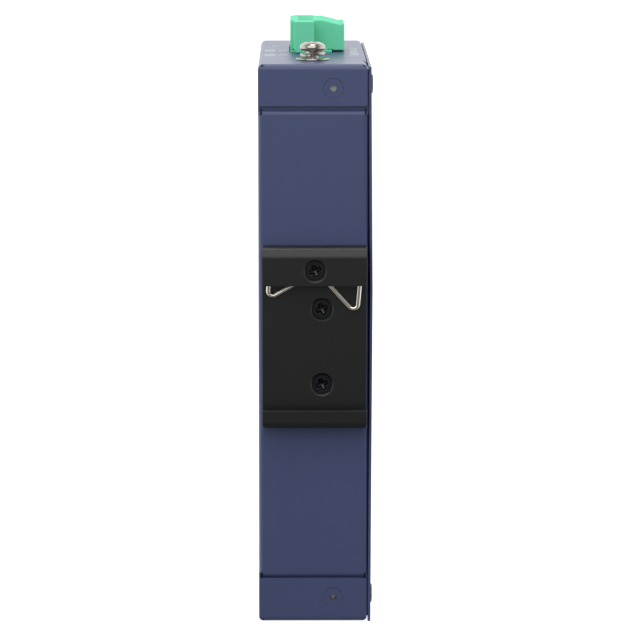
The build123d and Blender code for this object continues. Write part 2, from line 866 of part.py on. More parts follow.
def plug_housing():
    """The plug's housing: a sloped upper body with a rib, the part that goes in, and its ends."""
    slope_z = plug_top - plug_slope_drop
    rib_top = slope_z + plug_rib_height
    rib_x = plug_high_x - plug_rib_width
    slope = plug_slope_drop / (plug_width - plug_flat_width)
    skirt_base = plug_base - plug_skirt_drop
    skirt_x = board_face_x + header_width + plug_gap
    upper = Polyline(
        (plug_base, plug_low_x),
        (plug_base, skirt_x),
        (skirt_base, skirt_x),
        (skirt_base, plug_high_x),
        (rib_top, plug_high_x),
        (rib_top, rib_x),
        (slope_z + slope * plug_rib_width, rib_x),
        (plug_top, plug_low_x + plug_flat_width),
        (plug_top, plug_low_x),
        close=True,
    )
    housing = bar(upper, "y", (plug_near, plug_far))
    inner_low = board_face_x + header_wall + plug_gap
    inner_high = board_face_x + header_width - header_wall - plug_gap
    housing += block((inner_low, inner_high), (plug_near, plug_far), (plug_tip, plug_base))
    grip_x = (plug_low_x + grip_offset, plug_low_x + grip_offset + grip_width)
    clear = header_wall + plug_gap + plug_gap
    housing += end_grip(grip_x, clear)
    housing += end_tongue(grip_x, clear)
    half_clamp = clamp_width / 2 + fit_gap
    half_contact = pin_size / 2 + fit_gap + contact_leaf + fit_gap
    half_wire = wire_hole / 2
    half_slot = contact_width / 2 + fit_gap
    for y in pole_places:
        housing -= block(
            (clamp_low_x - fit_gap, clamp_high_x + fit_gap),
            (y - half_clamp, y + half_clamp),
            (clamp_base_z - fit_gap, clamp_top_z + fit_gap),
        )
        housing -= block(
            (wire_hole_x - half_wire, wire_hole_x + half_wire),
            (y - half_wire, y + half_wire),
            (clamp_middle_z, plug_top + overrun),
        )
        housing -= rod(
            clamp_screw_head_radius + fit_gap, (clamp_high_x, y, clamp_middle_z), (1, 0, 0), plug_width
        )
        housing -= block(
            (header_middle_x - half_slot, header_middle_x + half_slot),
            (y - half_contact, y + half_contact),
            (plug_tip - overrun, clamp_base_z),
        )
    return housing


def plug_clamp(y):
    """A wire cage with a window for the wire and a thread for its screw."""
    half = clamp_width / 2
    cage = block((clamp_low_x, clamp_high_x), (y - half, y + half), (clamp_base_z, clamp_top_z))
    cage -= block(
        (wire_hole_x - wire_hole / 2, wire_hole_x + wire_hole / 2),
        (y - clamp_window / 2, y + clamp_window / 2),
        (clamp_base_z + (clamp_width - clamp_window) / 2, clamp_top_z + overrun),
    )
    start = (wire_hole_x, y, clamp_middle_z)
    return cage - rod(clamp_screw_radius + fit_gap, start, (1, 0, 0), clamp_length)


def plug_clamp_screw(y):
    """A slotted screw, sunk a little in its well."""
    head_face = plug_high_x - clamp_screw_sink
    head_back = head_face - clamp_screw_head_height
    tip = wire_hole_x + wire_hole / 2 - fit_gap
    screw = rod(clamp_screw_radius, (tip, y, clamp_middle_z), (1, 0, 0), head_back - tip)
    head_place = (head_back, y, clamp_middle_z)
    screw += rod(clamp_screw_head_radius, head_place, (1, 0, 0), clamp_screw_head_height)
    half_slot = recess_width / 2
    slot_reach = clamp_screw_head_radius + overrun
    slot = block(
        (head_face - clamp_slot_depth, head_face + overrun),
        (y - slot_reach, y + slot_reach),
        (clamp_middle_z - half_slot, clamp_middle_z + half_slot),
    )
    return screw - slot


def plug_contact(y):
    """Two leaves that grip the header's pin, joined under the wire cage."""
    inner = pin_size / 2 + fit_gap
    outer = inner + contact_leaf
    tip = plug_tip + contact_above_tip
    low = header_middle_x - contact_width / 2
    high = header_middle_x + contact_width / 2
    contact = block((low, high), (y - outer, y + outer), (tip, clamp_base_z))
    slot_z = (tip - overrun, clamp_base_z - contact_leaf)
    return contact - block((low - overrun, high + overrun), (y - inner, y + inner), slot_z)


# Ports

def socket_space(z, length):
    """The space that takes a cable's plug: socket, latch notch and keyway."""
    base = port_low_x + socket_above_board
    notch_base = base - notch_height
    keyway_base = notch_base - keyway_height
    ys = (port_front - length, port_front + overrun)
    main = block((base, base + socket_height), ys, (z - socket_width / 2, z + socket_width / 2))
    notch = block((notch_base, base), ys, (z - notch_width / 2, z + notch_width / 2))
    keyway = block((keyway_base, notch_base), ys, (z - keyway_width / 2, z + keyway_width / 2))
    return main + notch + keyway


def port_shield(z):
    """The folded shield, closed at the back and open towards the board."""
    half = port_width / 2
    shell = block((port_low_x, port_high_x), (port_back, port_front), (z - half, z + half))
    shell -= block(
        (port_low_x - overrun, port_high_x - shield_sheet),
        (port_back + shield_sheet, port_front - shield_sheet),
        (z - half + shield_sheet, z + half - shield_sheet),
    )
    return shell - socket_space(z, socket_depth)


def port_insert(z):
    """The moulded insert with the socket and the slots for its contacts."""
    inset = shield_sheet + fit_gap
    body = block(
        (port_low_x, port_high_x - inset),
        (port_back + inset, port_front - inset),
        (z - port_width / 2 + inset, z + port_width / 2 - inset),
    )
    return body - socket_space(z, socket_depth)


def port_contact(z):
    """One contact: a flat spring from the socket's ceiling down and back."""
    ceiling = port_low_x + socket_above_board + socket_height
    start = port_front - contact_root
    end = start - contact_run
    outline = Polyline(
        (ceiling, start),
        (ceiling - contact_dip, end),
        (ceiling - contact_dip + contact_thickness, end),
        (ceiling, start - contact_thickness * contact_run / contact_dip),
        close=True,
    )
    half = contact_thickness / 2
    return bar(outline, "z", (z - half, z + half))


# Status lights

def led_holder():
    """The moulded block behind the front wall that holds the lights."""
    xs = [x for x, z in led_places]
    zs = [z for x, z in led_places]
    back = front - sheet - led_holder_depth
    holder = block(
        (board_face_x, max(xs) + led_reach),
        (back, front - sheet),
        (min(zs) - led_reach, max(zs) + led_reach),
    )
    for x, z in led_places:
        seat = (x, front - sheet - led_length, z)
        holder -= rod(led_radius + fit_gap, seat, (0, 1, 0), led_length + overrun)
    return holder


def status_led(x, z):
    """A light with a round nose that stands out of the front wall."""
    back = front - sheet - led_length
    length = led_length + sheet + led_proud - led_radius
    light = rod(led_radius, (x, back, z), (0, 1, 0), length)
    return light + Pos(x, back + length, z) * Sphere(led_radius)


# Parts on the board

def on_board(y, z, size_y, size_z, height, lift=0.0):
    """A block that stands on the board's face, centred at y and z."""
    low = board_face_x + lift
    return block((low, low + height), (y - size_y / 2, y + size_y / 2), (z - size_z / 2, z + size_z / 2))


def heat_sink():
    """The extruded sink on the switch chip: a base with upright fins."""
    lift = chip_height + pad_thickness
    sink = on_board(chip_y, chip_z, sink_size, sink_size, sink_height, lift)
    gap = (sink_size - sink_fins * sink_fin_thickness) / (sink_fins - 1)
    first = chip_y - sink_size / 2 + sink_fin_thickness
    for i in range(sink_fins - 1):
        low = first + i * (sink_fin_thickness + gap)
        sink -= block(
            (board_face_x + lift + sink_base, board_face_x + lift + sink_height + overrun),
            (low, low + gap),
            (chip_z - sink_size / 2 - overrun, chip_z + sink_size / 2 + overrun),
        )
    return sink


def power_inductor(z):
    """A shielded inductor: a square ferrite with a round winding window."""
    body = on_board(inductor_y, z, inductor_size, inductor_size, inductor_height)
    body = fillet(body.edges().filter_by(Axis.X), inductor_round)
    floor = (board_face_x + inductor_height - inductor_window_depth, inductor_y, z)
    body -= rod(inductor_window_radius, floor, (1, 0, 0), inductor_window_depth + overrun)
    return body + rod(inductor_core_radius, floor, (1, 0, 0), inductor_window_depth)


def input_capacitor(y):
    """An electrolytic can with rounded rims."""
    can = rod(capacitor_radius, (board_face_x, y, capacitor_z), (1, 0, 0), capacitor_height)
    return fillet(can.edges().filter_by(GeomType.CIRCLE), capacitor_round)


def lan_magnetics(z):
    """The transformer module behind one port."""
    y = magnetics_back + magnetics_width / 2
    body = on_board(y, z, magnetics_width, magnetics_length, magnetics_height)
    return chamfer(body.faces().sort_by(Axis.X)[-1].edges(), magnetics_chamfer)


def clock_crystal():
    """The crystal's can, rounded at its ends."""
    can = on_board(crystal_y, chip_z, crystal_width, crystal_length, crystal_height)
    return fillet(can.edges().filter_by(Axis.X), crystal_round)


def thermal_pad():
    """The soft pad between the switch chip and its heat sink."""
    return on_board(chip_y, chip_z, chip_size, chip_size, pad_thickness, chip_height)


def poe_controller():
    """The chip that switches the ports' power."""
    return on_board(chip_y, controller_z, controller_size, controller_size, controller_height)


nodes = {
    "case_tray": case_tray(),
    "side_cover": side_cover(),
    "cover_screws": solids_of(cover_screw(y, z) for y, z in cover_screw_places),
    "cover_press_nuts": solids_of(
        clinch_nut((inside, y, z), (-1, 0, 0)) for y, z in cover_screw_places
    ),
    "tab_rivets": solids_of(tab_rivet(z) for z in (top_rivet_z, bottom_rivet_z)),
    "rivet_mandrels": solids_of(rivet_mandrel(z) for z in (top_rivet_z, bottom_rivet_z)),
    "din_clip": din_clip(),
    "din_spring": din_spring(),
    "din_spring_screw": flat_screw(spring_screw_x, clip_front, spring_screw_z, spring_screw_length),
    "din_clip_screws": solids_of(
        flat_screw(x, plate_face, z, clip_screw_length) for x, z in clip_screw_places
    ),
    "din_press_nuts": solids_of(
        clinch_nut((x, rear + sheet, z), (0, 1, 0)) for x, z in clip_screw_places
    ),
    "ground_screw": ground_screw(),
    "ground_lock_washer": ground_lock_washer(),
    "ground_flat_washer": ground_flat_washer(),
    "ground_press_nut": clinch_nut((ground_x, ground_y, top - sheet), (0, 0, -1)),
    "main_board": main_board(),
    "board_standoffs": solids_of(board_standoff(y, z) for y, z in standoff_places),
    "board_screws": solids_of(board_screw(y, z) for y, z in standoff_places),
    "insulating_film": insulating_film(),
    "terminal_header": terminal_header(),
    "header_pins": solids_of(header_pin(y) for y in pole_places),
    "plug_housing": plug_housing(),
    "plug_clamps": solids_of(plug_clamp(y) for y in pole_places),
    "plug_clamp_screws": solids_of(plug_clamp_screw(y) for y in pole_places),
    "plug_contacts": solids_of(plug_contact(y) for y in pole_places),
    "led_holder": led_holder(),
    "status_leds": solids_of(status_led(x, z) for x, z in led_places),
    "switch_chip": on_board(chip_y, chip_z, chip_size, chip_size, chip_height),
    "thermal_pad": thermal_pad(),
    "heat_sink": heat_sink(),
    "poe_controller": poe_controller(),
    "clock_crystal": clock_crystal(),
    "fault_relay": on_board(relay_y, relay_z, relay_length, relay_width, relay_height),
}
for number, port_z in enumerate(port_places, 1):
    first_contact = port_z - (contact_count - 1) / 2 * contact_pitch
    nodes[f"port_shield_{number}"] = port_shield(port_z)
    nodes[f"port_insert_{number}"] = port_insert(port_z)
    nodes[f"port_contacts_{number}"] = solids_of(
        port_contact(first_contact + i * contact_pitch) for i in range(contact_count)
    )
    nodes[f"lan_magnetics_{number}"] = lan_magnetics(port_z)
for number, inductor_z in enumerate(inductor_places, 1):
    nodes[f"power_inductor_{number}"] = power_inductor(inductor_z)
for number, capacitor_y in enumerate(capacitor_places, 1):
    nodes[f"input_capacitor_{number}"] = input_capacitor(capacitor_y)

for name, piece in nodes.items():
    export_step(piece, f"parts/{name}.step")
print(len(nodes), "nodes written")
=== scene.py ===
# %% [markdown]
# A slim switch for a rail, dressed for a studio picture
#
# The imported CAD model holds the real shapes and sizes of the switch: a folded steel case, a rail clip
# with a wire spring, a green pluggable terminal and everything inside. This script gives each part its
# finish, replaces the folded, turned and bent parts that show by smoother ones, and sets up a floor,
# lights and a camera. Lengths are in millimetres, turned to metres by the value `mm`.

import json
import math

import bmesh
import bpy
import numpy as np
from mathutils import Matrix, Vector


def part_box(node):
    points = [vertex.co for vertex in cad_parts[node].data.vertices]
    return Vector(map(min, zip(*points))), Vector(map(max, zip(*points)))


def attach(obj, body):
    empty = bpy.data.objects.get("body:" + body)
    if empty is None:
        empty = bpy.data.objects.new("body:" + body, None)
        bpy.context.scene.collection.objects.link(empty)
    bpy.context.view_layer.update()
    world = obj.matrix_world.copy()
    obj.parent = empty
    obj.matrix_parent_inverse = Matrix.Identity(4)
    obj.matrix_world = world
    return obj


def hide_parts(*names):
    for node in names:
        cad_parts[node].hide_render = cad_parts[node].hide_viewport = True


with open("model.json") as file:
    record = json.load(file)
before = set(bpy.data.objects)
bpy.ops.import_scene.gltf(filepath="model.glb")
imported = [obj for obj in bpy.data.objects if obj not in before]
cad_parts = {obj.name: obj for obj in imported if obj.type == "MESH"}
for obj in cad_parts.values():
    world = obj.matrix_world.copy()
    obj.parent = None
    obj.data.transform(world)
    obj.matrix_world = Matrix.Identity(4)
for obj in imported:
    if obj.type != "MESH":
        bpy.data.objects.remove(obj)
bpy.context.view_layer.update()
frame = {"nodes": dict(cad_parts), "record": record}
nodes = frame["nodes"]
mm = 0.001
print("CAD nodes:", len(nodes))


def box_of(node):
    """A CAD part's lowest and highest corners, in millimetres."""
    low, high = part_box(node)
    return np.array(low) / mm, np.array(high) / mm


# %% [markdown]
# Helpers for materials
#
# A colour picked from a screen is an sRGB code, but Blender's shaders count in linear light, so one
# function turns a hex code to linear. Another adds a node, sets its properties and connects its inputs:
# with it, a material reads as a short list of steps.

# %% Colours and nodes


def linear(code):
    """A hex code as linear light: low channels are divided by 12.92, the rest follow a power of 2.4."""
    channels = np.array([int(code[i : i + 2], 16) / 255 for i in (1, 3, 5)])
    low = channels / 12.92
    high = ((channels + 0.055) / 1.055) ** 2.4
    return (*np.where(channels <= 0.04045, low, high).tolist(), 1.0)


def add_node(tree, kind, inputs, **settings):
    """Adds a node, sets its properties, then links or sets each of its inputs."""
    node = tree.nodes.new("ShaderNode" + kind)
    for name, value in settings.items():
        setattr(node, name, value)
    for name, value in inputs.items():
        if isinstance(value, bpy.types.NodeSocket):
            tree.links.new(value, node.inputs[name])
        else:
            node.inputs[name].default_value = value
    return node


def start_finish(name, colour, **settings):
    """A material with one principled shader. Its pattern is added to what this returns."""
    finish = bpy.data.materials.new(name)
    finish.use_nodes = True
    tree = finish.node_tree
    shader = tree.nodes["Principled BSDF"]
    shader.inputs["Base Color"].default_value = linear(colour)
    for key, value in settings.items():
        shader.inputs[key.replace("_", " ")].default_value = value
    return finish, tree, shader


def object_place(tree):
    """The point's place on the object, in metres."""
    return add_node(tree, "TexCoord", {}).outputs["Object"]


def add_grain(tree, shader, grain, height, detail=2.0):
    """Small bumps: noise whose waves are one grain long, as high as given, both in millimetres."""
    noise = add_node(
        tree, "TexNoise", {"Vector": object_place(tree), "Scale": 1 / (grain * mm), "Detail": detail}
    )
    bump = add_node(tree, "Bump", {"Height": noise.outputs["Fac"], "Distance": height * mm})
    tree.links.new(bump.outputs["Normal"], shader.inputs["Normal"])


def add_tone(tree, shader, patch, dark, light):
    """Slow changes of colour between two hex codes, in patches of a size in millimetres."""
    noise = add_node(
        tree, "TexNoise", {"Vector": object_place(tree), "Scale": 1 / (patch * mm), "Detail": 3.0}
    )
    mix = add_node(tree, "Mix", {"Factor": noise.outputs["Fac"]}, data_type="RGBA")
    for socket in mix.inputs:
        if socket.type == "RGBA":
            socket.default_value = linear(dark if socket.name == "A" else light)
    colours = [socket for socket in mix.outputs if socket.type == "RGBA"]
    tree.links.new(colours[0], shader.inputs["Base Color"])


def add_roughness(tree, shader, patch, low, high):
    """Roughness that changes slowly over the surface, as handling and plating leave it."""
    noise = add_node(
        tree, "TexNoise", {"Vector": object_place(tree), "Scale": 1 / (patch * mm), "Detail": 2.0}
    )
    ramp = add_node(
        tree, "MapRange", {"Value": noise.outputs["Fac"], "To Min": low, "To Max": high}
    )
    tree.links.new(ramp.outputs["Result"], shader.inputs["Roughness"])


print("material helpers ready")

# %% [markdown]
# The case's powder coat
#
# Powder coat is dry paint that is melted onto the steel. It flows out almost level and leaves a soft
# ripple, called orange peel, about a millimetre from crest to crest, with a fine tooth on top. Its
# sheen is satin. Seen along the surface it mirrors the studio, so the top looks far paler than the back.

# %% Case paint
case_paint, tree, shader = start_finish("satin blue powder coat", "#434e76", Roughness=0.38, IOR=1.5)
add_tone(tree, shader, patch=30.0, dark="#404b6f", light="#454f77")
add_grain(tree, shader, grain=0.7, height=0.008, detail=3.0)
add_roughness(tree, shader, patch=9.0, low=0.33, high=0.43)

clip_paint, tree, shader = start_finish("satin black powder coat", "#131416", Roughness=0.36, IOR=1.5)
add_tone(tree, shader, patch=14.0, dark="#101113", light="#141517")
add_grain(tree, shader, grain=0.45, height=0.008, detail=3.0)

screw_paint, tree, shader = start_finish("dark blue screw coat", "#1c2238", Roughness=0.4, IOR=1.5)
add_grain(tree, shader, grain=0.5, height=0.006)
print("paints made")

# %% [markdown]
# Plated metals
#
# Nickel is a warm, bright plate on the spring and the ground screw. Zinc is greyer and cloudier. Black
# zinc keeps a metal's shine under a dark film. A metal's colour is its reflection, so these have no
# other pattern than slow changes in roughness and a very fine grain.

# %% Metals


def plated(name, colour, low, high, patch, grain=0.3, height=0.002):
    """A metal finish: colour, roughness between two values, and a fine grain."""
    finish, tree, shader = start_finish(name, colour, Metallic=1.0)
    add_grain(tree, shader, grain, height)
    add_roughness(tree, shader, patch, low, high)
    return finish


nickel = plated("bright nickel plate", "#ddd7cc", 0.1, 0.16, patch=1.5)
dull_nickel = plated("satin nickel plate", "#aaa59c", 0.12, 0.2, patch=1.0)
zinc = plated("clear zinc plate", "#b9bcc0", 0.28, 0.42, patch=2.0)
black_zinc = plated("black zinc plate", "#36363a", 0.26, 0.36, patch=0.8)
tin = plated("tinned brass", "#cfccc2", 0.25, 0.38, patch=1.5)
shield_metal = plated("satin nickel sheet", "#a9a79f", 0.24, 0.34, patch=4.0)
gold = plated("gold plate", "#e3bd62", 0.15, 0.22, patch=2.0)
aluminium = plated("extruded aluminium", "#c9cbcd", 0.3, 0.45, patch=3.0)
print("metals made")

# %% [markdown]
# Moulded plastics
#
# Connector bodies are nylon, moulded in green or black. The mould's faces are spark eroded, which
# leaves a fine matt tooth. Light enters nylon a little, so its shaded sides stay bright: the three
# lengths say how far red, green and blue light spread under the surface.

# %% Plastics
light_spread = (0.6 * mm, 1.2 * mm, 0.8 * mm)


def moulded(name, colour, roughness, tooth, height, glow=0.0, gloss=0.5):
    """A moulded plastic: colour, roughness, the mould's tooth, how far light spreads, and gloss."""
    finish, tree, shader = start_finish(name, colour, Roughness=roughness, IOR=1.53)
    shader.inputs["Specular IOR Level"].default_value = gloss
    add_grain(tree, shader, tooth, height)
    if glow:
        shader.inputs["Subsurface Weight"].default_value = glow
        shader.inputs["Subsurface Radius"].default_value = light_spread
        shader.inputs["Subsurface Scale"].default_value = 1.0
    return finish


terminal_green = moulded("green nylon", "#74dab0", 0.85, tooth=0.25, height=0.005, glow=0.15, gloss=0.1)
black_nylon = moulded("black nylon", "#141416", 0.45, tooth=0.25, height=0.005)
black_epoxy = moulded("black moulding compound", "#18181a", 0.55, tooth=0.2, height=0.006)
relay_white = moulded("white polyester", "#deded4", 0.35, tooth=0.3, height=0.003, glow=0.1)
pad_grey = moulded("grey silicone pad", "#77808a", 0.75, tooth=0.3, height=0.02)
film = moulded("milky polyester film", "#d9d3bd", 0.25, tooth=0.8, height=0.004)
lens = moulded("green tinted resin", "#5fbf68", 0.12, tooth=0.8, height=0.002, glow=0.3)
print_ink = moulded("pale screen print", "#9b9dab", 0.5, tooth=0.2, height=0.002, gloss=0.4)
board_green, tree, shader = start_finish("green solder mask", "#0e4a2b", Roughness=0.28, IOR=1.5)
add_grain(tree, shader, grain=0.35, height=0.01)
print("plastics made")

# %% [markdown]
# Every node takes its finish from its slot
#
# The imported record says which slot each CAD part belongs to, so one table from slot to finish dresses
# the whole model at once.

# %% Dress the CAD parts
finishes = {
    "case_paint": case_paint,
    "clip_paint": clip_paint,
    "nickel": nickel,
    "cover_screw_paint": screw_paint,
    "black_zinc": black_zinc,
    "zinc": zinc,
    "terminal_green": terminal_green,
    "tin": tin,
    "clamp_steel": zinc,
    "board_green": board_green,
    "film_clear": film,
    "shield_nickel": shield_metal,
    "insert_black": black_nylon,
    "contact_gold": gold,
    "package_black": black_epoxy,
    "pad_grey": pad_grey,
    "sink_aluminium": aluminium,
    "relay_white": relay_white,
    "led_lens": lens,
}
slot_of = {part["node"]: part["material_slot"] for part in frame["record"]["subparts"]}
body_of = {
    node: body for body, members in frame["record"]["behaviour"]["bodies"].items() for node in members
}
for name, piece in nodes.items():
    for place in piece.material_slots:
        place.material = finishes[slot_of[name]]
print("dressed:", len(slot_of), "parts in", len(finishes), "finishes")

# %% [markdown]
# Helpers for surfaces
#
# A surface is a grid of points: one way runs along a profile, the other runs round or across. Numpy
# works out the whole grid at once, and one function joins several grids into a mesh, merges the points
# that meet at poles and seams, and turns every face outwards. Another puts the mesh in the place of a
# CAD part, on the same body and with the finish of that part's slot.

# %% Surfaces
seam_distance = 0.0005


def grid_faces(rows, columns, close_rows, close_columns):
    """The corner numbers of each square in a grid, closed round on either side."""
    index = np.arange(rows * columns).reshape(rows, columns)
    if close_rows:
        index = np.concatenate([index, index[:1]], axis=0)
    if close_columns:
        index = np.concatenate([index, index[:, :1]], axis=1)
    corners = [index[:-1, :-1], index[:-1, 1:], index[1:, 1:], index[1:, :-1]]
    return np.stack(corners, axis=-1).reshape(-1, 4)


def surface_mesh(name, grids, sharp=35.0):
    """A mesh from grids (points, close_rows, close_columns) in millimetres, smooth up to an angle."""
    points, faces, count = [], [], 0
    for grid, close_rows, close_columns in grids:
        rows, columns = grid.shape[:2]
        faces.append(grid_faces(rows, columns, close_rows, close_columns) + count)
        points.append(grid.reshape(-1, 3) * mm)
        count += rows * columns
    mesh = bpy.data.meshes.new(name)
    mesh.from_pydata(np.concatenate(points), [], np.concatenate(faces).tolist())
    work = bmesh.new()
    work.from_mesh(mesh)
    bmesh.ops.remove_doubles(work, verts=work.verts, dist=seam_distance * mm)
    bmesh.ops.recalc_face_normals(work, faces=work.faces)
    work.to_mesh(mesh)
    work.free()
    mesh.shade_smooth()
    mesh.set_sharp_from_angle(angle=math.radians(sharp))
    return mesh


def place_piece(name, mesh, finish):
    """Puts a mesh in the scene as an object at the origin, with one finish."""
    mesh.materials.clear()
    mesh.materials.append(finish)
    piece = bpy.data.objects.new(name, mesh)
    bpy.context.scene.collection.objects.link(piece)
    return piece


def stand_in(name, node, mesh, finish=None):
    """Puts a mesh in the place of a CAD part: same body, and its slot's finish unless one is given."""
    piece = place_piece(name, mesh, finish or finishes[slot_of[node]])
    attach(piece, body_of[node])
    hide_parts(node)
    return piece


print("surface helpers ready")

# %% [markdown]
# Helpers for lines
#
# Turned and bent parts start from a line: straight runs whose corners are rounded by arcs. Turned round
# an axis, a line gives a screw or a washer. Such a surface is first worked out in a frame of its own and
# then set where the part stands.

# %% Lines


def arc_points(centre, radius, start, end, steps=12):
    """Points on a circle between two angles in degrees."""
    angles = np.radians(np.linspace(start, end, steps + 1))
    return np.array(centre) + radius * np.stack([np.cos(angles), np.sin(angles)], axis=1)


def rounded_line(corners, radii, steps=6):
    """Straight runs through the corners, each inner corner rounded to its own radius.

    An arc touches both runs at a distance radius / tan(half the inner angle) from the corner.
    """
    corners = np.array(corners, float)
    points = [corners[:1]]
    for before, corner, after, radius in zip(corners, corners[1:], corners[2:], radii):
        if not radius:
            points.append(corner[None])
            continue
        one = (before - corner) / np.linalg.norm(before - corner)
        two = (after - corner) / np.linalg.norm(after - corner)
        half = math.acos(np.clip(one @ two, -1, 1)) / 2
        centre = corner + (one + two) / np.linalg.norm(one + two) * radius / math.sin(half)
        start = corner + one * radius / math.tan(half) - centre
        end = corner + two * radius / math.tan(half) - centre
        share = np.linspace(0, 1, steps + 1)[:, None]
        turn = math.acos(np.clip(start @ end / radius**2, -1, 1))
        weights = np.sin((1 - share) * turn), np.sin(share * turn)
        points.append(centre + (weights[0] * start + weights[1] * end) / math.sin(turn))
    points.append(corners[-1:])
    return np.concatenate(points)


def spaced(points, longest):
    """The same line with points added so that no run is longer than a length."""
    lengths = np.linalg.norm(np.diff(points, axis=0), axis=1)
    counts = np.maximum(1, np.ceil(lengths / longest)).astype(int)
    runs = [
        start + (end - start) * np.arange(count)[:, None] / count
        for start, end, count in zip(points, points[1:], counts)
    ]
    return np.concatenate(runs + [points[-1:]])


def turned(profile, sectors):
    """A profile of (radius, height) turned round the height: the angle steps evenly."""
    angle = np.linspace(0, 2 * np.pi, sectors, endpoint=False)
    radius = profile[:, :1]
    height = np.broadcast_to(profile[:, 1:], (len(profile), sectors))
    return np.stack([radius * np.cos(angle), radius * np.sin(angle), height], axis=-1)


def set_at(points, origin, out):
    """Turns local points so that their height runs along `out`, and moves them to the origin."""
    out = np.array(out, float)
    side = np.cross((0.0, 1.0, 0.0) if out[2] else (0.0, 0.0, 1.0), out)
    basis = np.array([side, np.cross(out, side), out])
    return points @ basis + np.array(origin)


print("line helpers ready")

# %% [markdown]
# Folded sheet and mouldings with rounded edges
#
# No real edge is perfectly sharp: paint draws back from a cut edge and a mould leaves a small radius.
# That narrow round catches a line of light, and without it a model looks like paper. A CAD mesh is loose
# triangles, so a copy is merged first, its flat faces are joined, and a bevel rounds what is sharp. The
# large faces then lead the shading, so that they stay even up to the round.

# %% Rounded copies
corner_distance = 0.002
flat_within = 0.5
sharp_from = 32
rounded_from = 35
bevel_steps = 2
large_faces_first = 100


def softened(node, width):
    """A copy of a CAD part with its corners merged and its sharp edges rounded."""
    mesh = nodes[node].data.copy()
    mesh.name = node + "_rounded"
    work = bmesh.new()
    work.from_mesh(mesh)
    bmesh.ops.remove_doubles(work, verts=work.verts, dist=corner_distance * mm)
    bmesh.ops.dissolve_limit(
        work, angle_limit=math.radians(flat_within), verts=work.verts, edges=work.edges
    )
    work.to_mesh(mesh)
    work.free()
    mesh.shade_smooth()
    mesh.set_sharp_from_angle(angle=math.radians(sharp_from))
    piece = stand_in(node + "_rounded", node, mesh)
    bevel = piece.modifiers.new("rounded edges", "BEVEL")
    bevel.width = width * mm
    bevel.segments = bevel_steps
    bevel.limit_method = "ANGLE"
    bevel.angle_limit = math.radians(rounded_from)
    bevel.use_clamp_overlap = False
    bevel.miter_outer = "MITER_ARC"
    even = piece.modifiers.new("even shading", "WEIGHTED_NORMAL")
    even.keep_sharp = True
    even.weight = large_faces_first
    return piece


edge_rounds = {
    "side_cover": 0.12,
    "din_clip": 0.08,
    "plug_housing": 0.18,
    "terminal_header": 0.15,
    "led_holder": 0.15,
    "fault_relay": 0.25,
    "heat_sink": 0.08,
}
for node, width in edge_rounds.items():
    piece = softened(node, width)
    print(piece.name, "faces:", len(piece.data.polygons))

# %% [markdown]
# Screw heads with a cross recess
#
# A screw is turned, then a punch presses the cross into its head. So the head is a surface in polar
# steps: each ring follows the turned profile, and the punch's shape is taken off its height. The cross
# is two troughs with sloping walls that get deeper towards the middle.

# %% Cross recess
recess_reach = 1.45
recess_width = 0.85
recess_wall = 0.28
recess_depth = 1.1
rim_depth_share = 0.45
face_step = 0.04
shank_step = 0.6


def cross_depth(x, y, turn):
    """How deep the cross is at a point: a soft step along and across each arm, deeper inwards."""
    angle = math.radians(turn)
    along = x * math.cos(angle) + y * math.sin(angle)
    across = y * math.cos(angle) - x * math.sin(angle)

    def trough(a, b):
        length = np.clip((recess_reach - np.abs(a)) / recess_wall, 0, 1)
        width = np.clip((recess_width / 2 - np.abs(b)) / recess_wall + 0.5, 0, 1)
        return length * width

    inwards = np.clip(1 - np.hypot(x, y) / recess_reach, 0, 1)
    deepest = recess_depth * (rim_depth_share + (1 - rim_depth_share) * inwards)
    return deepest * np.maximum(trough(along, across), trough(across, along))


def recessed_screw(face, rest, turn, sectors=132):
    """A turned screw, from the middle of its head to the middle of its end, with a cross pressed in.

    The face is divided finely, so that the cross has clean walls. The rest starts at the face's rim.
    """
    head = turned(spaced(face, face_step), sectors)
    head[..., 2] -= cross_depth(head[..., 0], head[..., 1], turn)
    return np.concatenate([head, turned(spaced(rest, shank_step)[1:], sectors)])


def screws(name, node, places, out, face, rest, turn, finish=None):
    """One mesh of equal screws, each a turned surface set at its place with its head facing `out`."""
    head = recessed_screw(face, rest, turn)
    grids = [(set_at(head, place, out), False, True) for place in places]
    return stand_in(name, node, surface_mesh(name, grids, sharp=40.0), finish)


print("cross recess:", 2 * recess_reach, "mm across,", recess_depth, "mm deep")

# %% [markdown]
# The clip's screws
#
# Three countersunk screws sit in the clip: one in the hook, which also holds the spring, and two in the
# plate. Their flat heads have a narrow rim, a cone under it and a plain shank with a chamfered end.

# %% Clip screws
screw_radius = 1.5
head_radius = 2.35
cone_depth = 0.85
rim = 0.1
rim_round = 0.04
shank_round = 0.1
end_chamfer = 0.4
flat_face = np.array([(0.0, 0.0), (head_radius - rim, 0.0)])
spring_screw_x = 0.37
spring_screw_z = 86.4
clip_screw_x = 2.05
clip_screw_heights = (76.6, 58.4)
clip_screw_turn = 22


def flat_rest(length):
    """The rest of a flat countersunk screw: rim, cone, shank and end."""
    corners = [
        (head_radius - rim, 0.0),
        (head_radius, -rim),
        (screw_radius, -cone_depth),
        (screw_radius, -length + end_chamfer),
        (screw_radius - end_chamfer, -length),
        (0.0, -length),
    ]
    return rounded_line(corners, [rim_round, shank_round, shank_round, shank_round], steps=3)


